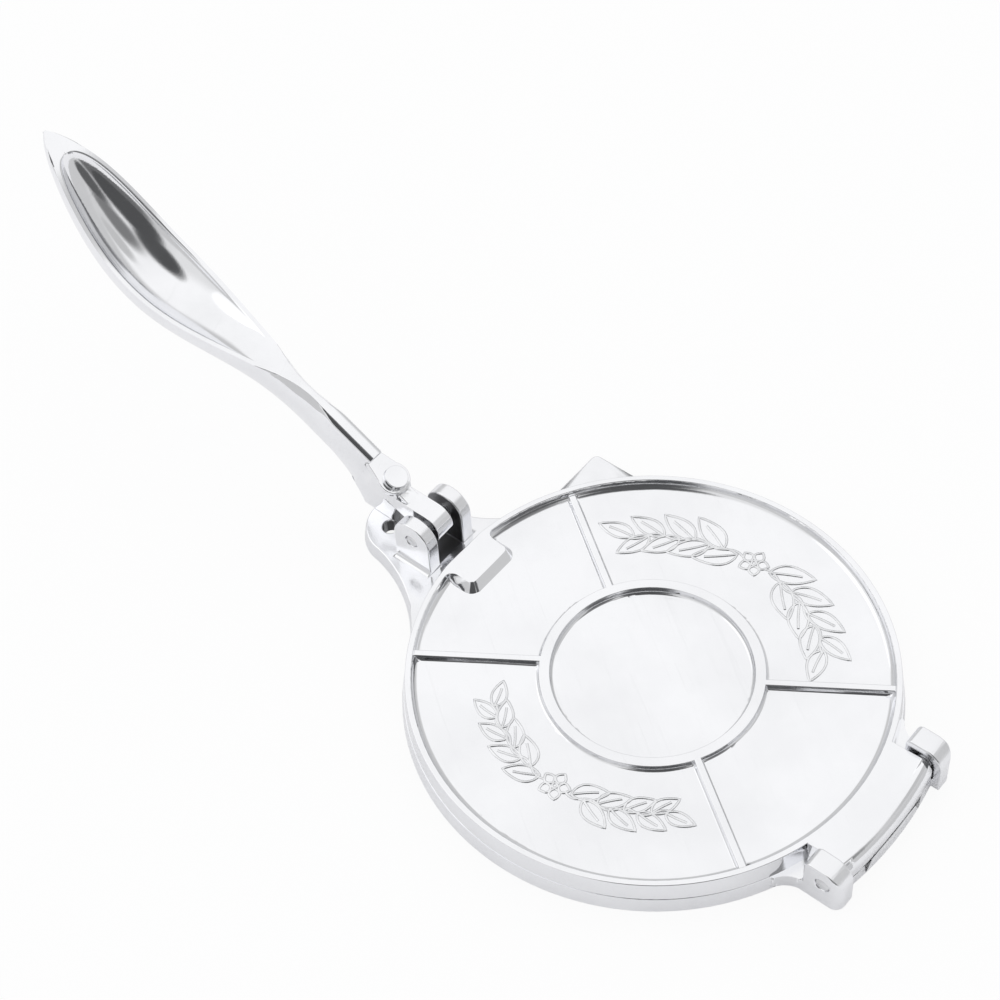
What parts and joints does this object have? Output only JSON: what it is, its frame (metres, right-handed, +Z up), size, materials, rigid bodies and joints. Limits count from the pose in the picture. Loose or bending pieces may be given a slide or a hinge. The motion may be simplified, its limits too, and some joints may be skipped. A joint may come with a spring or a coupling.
{
  "type": "tortilla press",
  "caption": "Cast aluminium hand press: hinged round ribbed top plate on a round base, with a fold-over spoon-shaped lever that presses on a pad.",
  "frame": {"origin": "centre of the round plates, on the flat underside that stands on the bench", "axes": "+Z up, +X from the plate centre to the plate hinge, -X to the lever, Y across along both hinge pins"},
  "size_m": [0.4463, 0.2076, 0.1335],
  "materials": {
    "base": "cast and polished",
    "top_plate": "cast and polished",
    "lever": "cast and polished",
    "hinge_pin": "plain drawn pin",
    "lever_pin": "plain drawn pin"
  },
  "bodies": {
    "base": {"base": "base", "hinge_pin": "hinge_pin", "lever_pin": "lever_pin"},
    "top_plate": {"top_plate": "top_plate"},
    "lever": {"lever": "lever"}
  },
  "joints": [
    {"name": "plate_hinge", "type": "hinge", "parent": "base", "child": "top_plate", "pos_m": [0.111, 0, 0.0128], "axis": [0, 1, 0], "range_deg": [0, 180]},
    {"name": "lever_hinge", "type": "hinge", "parent": "base", "child": "lever", "pos_m": [-0.1174, 0, 0.0229], "axis": [0, 1, 0], "range_deg": [0, 152.5]}
  ]
}
